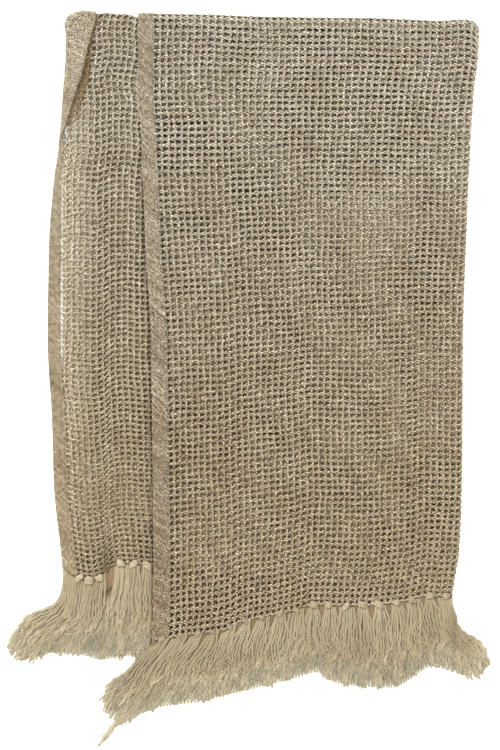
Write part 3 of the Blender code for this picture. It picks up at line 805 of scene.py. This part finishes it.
# Each band: the layer's length and width, the band's tone of painted shade and its grain,
# how much deeper its core is with painted shade in the grooves between the ribs, and the
# points along a rib
BANDS = {
    "top": (0.82, 0.44, 0.73, 0.6, 0.5, 15),
    "third": (0.74, 0.555, 0.62, 0.5, 0.15, 17),
    "second": (0.72, 0.555, 0.06, 0.5, 0.3, 5),
    "floor": (0.72, 0.45, 0.4, 0.5, 0.3, 5),
}

# How far the ribs wander, in ribs: where it is much, the band reads as fine grain
BAND_WANDER = (
    ("p", "top", "third", "second", "floor"),
    (0.0, 0.12, 0.22, 0.1, 0.1),
    (0.18, 0.16, 0.2, 0.1, 0.1),
    (0.28, 0.27, 0.08, 0.1, 0.1),
    (0.6, 0.27, 0.1, 0.1, 0.1),
    (0.82, 0.2, 0.14, 0.1, 0.1),
    (1.0, 0.2, 0.14, 0.1, 0.1),
)

# The top selvedge's cotton: greyer than the net's, and lighter with painted light.
greyer_cotton = cotton("undyed_cotton_selvedge", NET_DARK, NET_LIGHT, NET_PALE_AND_PAINTED_LIGHT,
                       0.6, 0.2, 1.0, 0.75)

for layer, (length, width, base, grain, deeper, points) in BANDS.items():
    ribs = int(length / RIB_PITCH)
    draw = np.random.default_rng(len(layer))
    start, share = np.meshgrid(
        np.arange(1 - RIB_SLANT, ribs), np.linspace(0, 1, points), indexing="ij")
    low = np.clip(-start / RIB_SLANT, 0, 1)
    high = np.clip((ribs - start) / RIB_SLANT, 0, 1)
    cross = low + (high - low) * share
    down = (start + RIB_SLANT * cross) / ribs
    wander = read(BAND_WANDER, down, layer)
    stray = draw.normal(0, 1, (4, *cross.shape))
    band = read(BAND_SHARES, down, layer)
    inset = draw.uniform(-0.02, 0.07, (len(cross), 1))
    q = np.clip((inset + cross * (1.08 - inset) + 0.05 * wander * stray[3]) * band, 0, 1)
    bulge = 0.0011 + 0.0004 * wander * stray[0] + 0.0002 * stray[2, :, :1]
    zigzag = 0.6 * wander * (-1.0) ** np.arange(points) * (layer == "third")
    p = np.clip(down + (stray[1] * wander + zigzag) / ribs, 0, 1)
    wide = band * width
    apart = RIB_PITCH * wide / np.hypot(wide, RIB_SLANT * RIB_PITCH)
    radius = 0.46 * apart * (1 + 0.10 * stray[2] + 0.3 * wander)
    mottled = base - 0.12 + grain * (0.2 * stray[0] + 0.14 * stray[1, :, :1])
    if layer == "third":
        mottled = mottled + (0.16 * stray[2] - 0.05) * (1 - ease((down - 0.13) / 0.07))
    face = on_cloth(layer, q, p, bulge)
    parts = [strands(f"a_{layer}", *face, radius, RIB_TWIST, mottled, sides=4, flat=0.9)]
    every = 1 if layer == "third" else 2
    back = (*on_cloth(layer, q[:, ::-1], p, 0.0008 - bulge), radius, mottled)
    back = [k[:, ::every] for k in back]
    parts.append(strands(f"b_{layer}", *back[:3], RIB_TWIST, back[3], sides=4, flat=0.9))
    q, p = np.meshgrid(
        np.linspace(0, 1, CORE_LANES), np.linspace(0, 1, CORE_POINTS), indexing="ij")
    band, edge = read(BAND_SHARES, p, layer), CORE_MARGIN / width
    core = on_cloth(layer, edge + q * (band - 2 * edge), p, 0.0 * q)
    # The core, deeper with painted shade, lies in the grooves between the ribs.
    parts.append(
        strands(f"c_{layer}", *core, CORE_RADIUS, 0.0, base + deeper, sides=4, flat=0.5))
    material = greyer_cotton if layer == "top" else net_cotton
    join_up(f"selvedge_{layer}", parts, material, "throw_cloth")

# ----------
# Fringe: tassels are knotted through the hem, 13 to 29 mm apart, and each knot is a lump
# of the tassel's own yarn. Below it the bundle of soft yarn ends spreads within 25 mm
# and lies down in loose waves, with fluffy tips.

# For each layer, where tassels are rooted and where they end, and their leans there in
# degrees from straight down
FRINGE_HEAD = ("root", "tip_x", "tip_y", "root_lean", "tip_lean")
TOP_FRINGE = (
    FRINGE_HEAD,
    (-0.1241, -0.195, -0.419, -44, -54),
    (-0.1203, -0.1955, -0.432, -44, -42),
    (-0.1166, -0.195, -0.444, -43, -32),
    (-0.1128, -0.1935, -0.455, -42, -26),
    (-0.109, -0.187, -0.4625, -41, -26),
    (-0.1037, -0.178, -0.465, -40, -28),
    (-0.1022, -0.2055, -0.5, -34, -44),
    (-0.1007, -0.17, -0.468, -38, -24),
    (-0.0985, -0.165, -0.468, -37, -22),
    (-0.093, -0.156, -0.46, -36, -20),
    (-0.062, -0.116, -0.445, -32, -22),
    (-0.033, -0.074, -0.44, -28, -18),
    (0.0, -0.024, -0.428, -20, -12),
    (0.067, 0.056, -0.408, -8, -6),
    (0.093, 0.09, -0.399, -4, -2),
    (0.12, 0.12, -0.415, 0, 0),
    (0.187, 0.191, -0.42, 3, 2),
    (0.213, 0.218, -0.406, 4, 4),
    (0.236, 0.244, -0.391, 6, 8),
    (0.2494, 0.266, -0.397, 8, 14),
    (0.257, 0.286, -0.403, 8, 16),
    (0.2608, 0.302, -0.406, 6, 14),
    (0.269, 0.3195, -0.3905, 2, 8),
)
THIRD_FRINGE = (
    FRINGE_HEAD,
    (-0.25, -0.3262, -0.365, 4, -14),
    (-0.2455, -0.3225, -0.376, 2, -22),
    (-0.24, -0.31, -0.383, -2, -32),
    (-0.229, -0.286, -0.379, -4, -36),
    (-0.218, -0.264, -0.373, -4, -32),
    (-0.208, -0.245, -0.374, -6, -26),
    (-0.195, -0.221, -0.377, -6, -18),
    (-0.178, -0.2, -0.383, -5, -12),
    (-0.156, -0.172, -0.378, -2, -8),
    (-0.131, -0.137, -0.376, 0, -3),
    (0.262, 0.256, -0.382, -3, -3),
)
FRINGES = {
    "top": TOP_FRINGE,
    "third": THIRD_FRINGE,
    "second": (
        FRINGE_HEAD, (-0.236, -0.238, -0.345, -1, -1), (0.262, 0.256, -0.345, -3, -3)),
    "floor": (
        FRINGE_HEAD, (-0.163, -0.163, -0.348, 0, 0), (0.262, 0.256, -0.348, -3, -3)),
}
HEM_ENDS = (-0.2490, 0.2690)

yarn_cotton = cotton("undyed_cotton_yarn", (0.39, 0.315, 0.19), (0.585, 0.50, 0.34),
                     (0.76, 0.70, 0.51), 0.35, 0.3, 0.5)


def evenly(start, end, count):
    """Middles of tassels spread evenly along a hem, and half the width of each."""
    half = (end - start) / count / 2
    return start + (np.arange(count) * 2 + 1) * half, np.full(count, half)


def lying(layer, xy, lift):
    """Paths a given height over all that lies under a layer, and their way up."""
    z = underside(layer, xy[..., 0], xy[..., 1]) + lift
    paths = np.concatenate([xy, z[..., None]], -1)
    return paths, np.broadcast_to(np.array([0, 0, 1.0]), paths.shape)


# A knot: its windings, its yarn's radius, and half its width
KNOT_TURNS, KNOT_YARN, KNOT_HALF = 3.5, 0.0016, 0.0036


def knots(layer, middles, scale, tone, seed):
    """Each knot is one yarn wound three and a half times round: an oval coil whose middle
    moves down the cloth and slants, so it reads as a lump of windings. Its windings are
    paler where they come up, painted light, and deeper where they go down, painted shade.
    Those of the top hem's left half are smaller and deeper with painted shade, drawn into
    the net."""
    draw = np.random.default_rng(seed)
    count = len(middles)
    t = np.linspace(0, 1, 29)[None]
    angle = t * KNOT_TURNS * 2 * pi + draw.uniform(0, 6.28, (count, 1))
    sunk = (1 - ease((middles - 0.02) / 0.08))[:, None] * (layer == "top")
    size = scale * draw.uniform(0.85, 1.15, (count, 1)) * (1 - 0.3 * sunk)
    wide = size * (KNOT_HALF + 0.0009 * np.sin(pi * t)) + 0.0003 * np.sin(angle * 0.61)
    slant = draw.uniform(-0.9, 0.9, (count, 1))
    along = (t - 0.5) * 0.0066 * size + slant * np.cos(angle) * 0.0035
    x = middles[:, None] + draw.normal(0, 0.0008, (count, 1)) + wide * np.cos(angle)
    y = read(HEMS, middles, layer)[:, None] - 0.0012 + along
    y = y + draw.normal(0, 0.0008, (count, 1))
    lift = 0.0030 + 0.0016 * size * np.sin(angle)
    paths, up = lying(layer, np.stack([x, y], -1), lift)
    outwards = np.stack([np.cos(angle), 0 * angle, np.sin(angle)], -1)
    # Random tone, painted light on the upper windings, and painted shade on the lower
    # ones and on sunk knots
    tone = tone + 0.15 * draw.normal(0, 1, x.shape) - 0.12 * np.sin(angle) + 0.18 * sunk
    thick = KNOT_YARN * scale * (1 - 0.2 * sunk)
    up = 0.2 * up + outwards
    return strands(f"knots_{layer}", paths, up, thick, 0.7, tone, sides=5)


def lock_paths(layer, at, reach, t):
    """Cubic curves from the hem to the tips, seen from above, and the way to each
    curve's side. The layer's table gives the tip and the lean at both ends, and reach
    is the share of the way to the tip."""
    table = FRINGES[layer]
    root_x = np.clip(at, *HEM_ENDS)
    root = np.stack([root_x, read(HEMS, root_x, layer) - 0.0030], -1)
    tip = np.stack([read(table, at, "tip_x"), read(table, at, "tip_y")], -1)
    tip = root + (tip - root) * reach[:, None]
    away = np.linalg.norm(tip - root, axis=1)[:, None]
    leans = np.radians([read(table, at, n) for n in ("root_lean", "tip_lean")])
    out = root + 0.60 * away * np.stack([np.sin(leans[0]), -np.cos(leans[0])], -1)
    back = tip - 0.42 * away * np.stack([np.sin(leans[1]), -np.cos(leans[1])], -1)
    root, out, back, tip = (k[:, None] for k in (root, out, back, tip))
    t = t[None, :, None]
    s = 1 - t
    centre = s**3 * root + 3 * s * s * t * out + 3 * s * t * t * back + t**3 * tip
    way = unit(np.gradient(centre, axis=1))
    return centre, np.stack([-way[..., 1], way[..., 0]], -1)


# Yarn ends: radius at the knot, how much they swell and then taper, the size of their
# quick and slow waves, and the radius of loose fibres and of the hairs at the tips
END_RADIUS, END_SWELL, END_TAPER = 0.00165, 0.00080, 0.00120
QUICK_WAVE, MORE_QUICK, SLOW_WAVE, OWN_WAVE = 0.0007, 0.0006, 0.0021, 0.0020
FIBRE_RADIUS, HAIR_RADIUS = 0.00045, 0.00024


def tassels(name, layer, middles, halves, ends, points, drawn, tone, seed):
    """All the yarn ends of a run of tassels, in three heights. An end keeps its own place
    across its tassel: near the knot it is drawn in, towards the tip it leans to one point
    of it, and between them it snakes in step with its neighbours. Ends swell and then
    taper by S curves, and their tone goes from painted shade near the knot, deeper on the
    lower heights, to paler at the tips. A bell curve of brown painted shadow crosses the
    third layer's ends beside the top layer's selvedge."""
    draw = np.random.default_rng(seed)
    count = len(middles)
    total = count * ends
    tassel = np.repeat(np.arange(count), ends)

    def for_tassel(low, high):
        """One number for each tassel, the same for all its ends."""
        return draw.uniform(low, high, count)[tassel]

    half = halves[tassel]
    number = np.arange(total) % ends
    level = (number % 3).astype(float)
    off = ((number // 3 + 0.5 + 0.33 * level) / (ends // 3) * 2 - 1) * 1.04
    off = off + draw.normal(0, 0.06, total)
    clump = for_tassel(-0.4, 0.4)
    length = 0.990 + draw.normal(0, 0.012, total) - 0.10 * (off - clump) ** 2
    length = length + for_tassel(-0.04, 0.03)
    t = np.linspace(0, 1, points)
    centre, side = lock_paths(layer, middles[tassel] + off * half, length, t)
    tight = (drawn + draw.uniform(-0.35, 0.15, count))[tassel][:, None]
    gather = (1 - ease(t / 0.15))[None] * tight
    towards = 0.42 * ease((t - 0.55) / 0.45)[None]
    shift = -(off * half)[:, None] * gather - ((off - clump) * half)[:, None] * towards
    phase = for_tassel(0, 6.28) + off * 1.2 + draw.normal(0, 0.9, total)
    bend = np.sin(t[None] * for_tassel(40, 52)[:, None] + phase[:, None])
    slow = np.sin(t[None] * 9 + for_tassel(0, 6.28)[:, None])
    grow = np.minimum(t / 0.2, 1.0)[None]
    stray = draw.normal(0, 0.0022, (total, 1)) * t**1.5
    own = np.sin(t * 9 + draw.uniform(0, 6.28, (total, 1)))
    stray = stray + OWN_WAVE * own * np.minimum(t * 2, 1)
    stray = stray * np.clip(half / 0.008, 0.3, 1)[:, None]
    quick = QUICK_WAVE + MORE_QUICK * ease((t - 0.35) / 0.5)
    shift = shift + (quick * bend + SLOW_WAVE * slow) * grow + stray
    centre = centre + side * shift[..., None]
    fat = END_RADIUS + END_SWELL * ease((t - 0.35) / 0.45)
    fat = fat - END_TAPER * ease((t - 0.90) / 0.10)
    radius = fat[None] * draw.uniform(0.85, 1.15, (total, 1))
    lift = 0.0013 + level[:, None] * (0.0008 - 0.0003 * ease((t - 0.4) / 0.4))
    lift = lift + 0.0003 * np.sin(t[None] * 13 + phase[:, None] * 2)
    paths, up = lying(layer, centre, lift)
    # Painted shade near the knot, more on the lower heights, and paler towards the tips
    depth = (0.16 - 0.07 * level)[:, None] * (1 - ease((t[None] - 0.25) / 0.6))
    paling = 0.45 * ease((t[None] - 0.55) / 0.40)
    depth = depth + draw.normal(0, 0.05, (total, 1)) - paling
    depth = depth + draw.normal(0, 0.05, count)[tassel][:, None]
    # A bell of brown painted shadow beside the top layer's selvedge
    stain_and_painted_shadow = np.exp(-(((centre[..., 0] + 0.1285) / 0.0026) ** 2)) * (layer == "third")
    depth = depth + 1.6 * stain_and_painted_shadow + tone + 0.15
    return strands(name, paths, up, radius, 0.25, depth, sides=4, flat=0.62)


def under_ends(name, layer, middles, halves, points, tone):
    """The lowest ends of the tassels, pressed flat: seven lanes a tassel, each 1.3 times
    as wide as its neighbours are apart, so nothing under the fringe shows through it.
    They have a brown painted shadow at the hem and painted shade between the knots, and
    are paler at the tips."""
    lanes = 7
    tassel = np.repeat(np.arange(len(middles)), lanes)
    off = (np.tile(np.arange(lanes), len(middles)) + 0.5) / lanes * 2 - 1
    t = np.linspace(-0.02, 1, points)
    at = np.sort(middles[tassel] + off * halves[tassel])
    centre, side = lock_paths(layer, at, np.full(len(at), 0.985), t)
    paths, up = lying(layer, centre, 0.0012)
    apart = np.linalg.norm(np.gradient(centre, axis=0), axis=-1)
    narrowing = (1 - 0.5 * np.clip(t, 0, 1) ** 12)[None]
    radius = np.clip(apart * 0.65, 0.0008, 0.0060) * narrowing
    knotted = ease((at + 0.238) / 0.006)[:, None] if layer == "third" else 1.0
    # Brown painted shadow near the hem, where the ends show between the knots
    rust = np.maximum(1.5 - tone, 0) * (1 - ease((t - 0.10) / 0.16))[None] * knotted
    depth = tone - 0.85 * ease((t - 0.45) / 0.35)[None] + rust
    return strands(name, paths, up, radius, 0.0, depth, sides=4, flat=0.13)


def fluff(name, layer, start, end, total, begin, thick, tone, seed):
    """Fine loose fibres over a run of tassels, from a given share of their length on:
    short curves that follow the tassels and wander off them in loose curls. They end
    past the yarns by two sines along the hem."""
    draw = np.random.default_rng(seed)
    at = draw.uniform(start, end, total)
    t = np.linspace(0, 1, 5)
    reach = 1.0 + 0.025 * np.sin(at * 330) + 0.015 * np.sin(at * 810)
    steps = 40
    centre, side = lock_paths(layer, at, reach, np.linspace(0, 1, steps + 1))
    first = draw.uniform(begin, 0.86, total)[:, None]
    share = first + t[None] * draw.uniform(0.10, 0.26, (total, 1))
    place = np.clip(share, 0, 1.0) * steps
    low = np.clip(place.astype(int), 0, steps - 1)
    part = (place - low)[..., None]
    rows = np.arange(total)[:, None]
    path = centre[rows, low] * (1 - part) + centre[rows, low + 1] * part
    curl = draw.uniform(-1, 1, (total, 1)) * 0.014 * t[None] ** 1.5
    waves, turned = draw.uniform(4, 11, (total, 1)), draw.uniform(0, 6.28, (total, 1))
    curl = curl + 0.0030 * np.sin(t[None] * waves + turned)
    path = path + side[rows, low] * curl[..., None]
    paths, up = lying(layer, path, draw.uniform(0.0010, 0.0052, (total, 1)))
    radius = thick * draw.uniform(0.7, 1.3, (total, 1)) * (1 - 0.5 * t[None])
    tone = tone * np.clip(share, 0, 1) + draw.normal(0, 0.10, (total, 1))
    return strands(name, paths, up, radius, 0.5, tone)


# Tassels of each hem: their middles and half their widths
TOP_RUN = evenly(-0.1275, 0.2725, 18)
THIRD_RUN = (
    np.array([-0.2280, -0.2147, -0.2015, -0.1725, -0.1555, -0.1375]),
    np.array([0.0100, 0.0070, 0.0105, 0.0110, 0.0090, 0.0090]),
)
CORNER_RUN = (np.array([-0.2415]), np.array([0.0090]))
HIDDEN_THIRD = evenly(-0.1290, 0.2660, 18)
HIDDEN_SECOND = evenly(-0.2370, 0.2660, 22)
HIDDEN_FLOOR = evenly(-0.1640, 0.2660, 19)

# Yarn ends: the layer, its tassels, the ends in each, the points along an end, how far
# they are drawn in at the knot, and their tone, where 1.4 on the hidden runs paints the
# brown shadow seen between the knots
RUNS = (
    ("top", TOP_RUN, 18, 29, 0.45, 0.0),
    ("top", evenly(0.2490, 0.2690, 1), 24, 29, 0.2, 0.0),  # full tassel at the fold
    ("top", evenly(-0.1030, -0.1014, 1), 6, 29, 0.2, 0.0),  # long wisp at the left
    ("third", CORNER_RUN, 30, 29, 0.0, -0.05),
    ("third", THIRD_RUN, 18, 29, 0.5, 0.05),
    ("third", HIDDEN_THIRD, 9, 9, 0.5, 1.4),
    ("second", HIDDEN_SECOND, 9, 9, 0.5, 1.4),
    ("floor", HIDDEN_FLOOR, 9, 9, 0.5, 1.4),
)
# The lowest ends under them: the layer, its tassels, the points along an end, the tone,
# where 1.5 on the hidden runs paints the brown shadow seen between the knots
UNDER_RUNS = (
    ("top", TOP_RUN, 14, 0.1),
    ("top", evenly(0.2620, 0.2690, 1), 16, 0.1),
    ("third", evenly(-0.2500, -0.1285, 8), 16, 0.1),
    ("third", HIDDEN_THIRD, 4, 1.5),
    ("second", HIDDEN_SECOND, 4, 1.5),
    ("floor", HIDDEN_FLOOR, 4, 1.5),
)

fringe = {layer: [] for layer in FRINGES}
for number, (layer, run, ends, points, drawn, tone) in enumerate(RUNS):
    yarns = tassels(f"ends_{number}", layer, *run, ends, points, drawn, tone, 70 + number)
    fringe[layer].append(yarns)
for number, (layer, run, points, tone) in enumerate(UNDER_RUNS):
    fringe[layer].append(under_ends(f"under_{number}", layer, *run, points, tone))
fringe["top"].append(knots("top", TOP_RUN[0], 1.1, 0.12, 90))
fringe["third"].append(knots("third", THIRD_RUN[0], 1.15, -0.15, 91))

for layer, *hem, seed in (
    ("top", -0.1275, 0.2690, 450, 60), ("third", -0.2490, -0.1290, 200, 61)
):
    fibres = fluff(f"fluff_{layer}", layer, *hem, 0.35, FIBRE_RADIUS, -0.5, seed)
    fringe[layer].append(fibres)
for layer, parts in fringe.items():
    join_up(f"fringe_{layer}_yarn", parts, yarn_cotton, f"fringe_{layer}")

# The frayed tips: fine hairs that end past the yarns, so the fringe has a soft edge
for layer, *hem in (("top", -0.1275, 0.2690, 1700), ("third", -0.2500, -0.1290, 800)):
    tips = fluff(f"tips_{layer}", layer, *hem, 0.62, HAIR_RADIUS, -0.95, 64)
    join_up(f"fringe_{layer}_tips", [tips], yarn_cotton, f"fringe_{layer}")
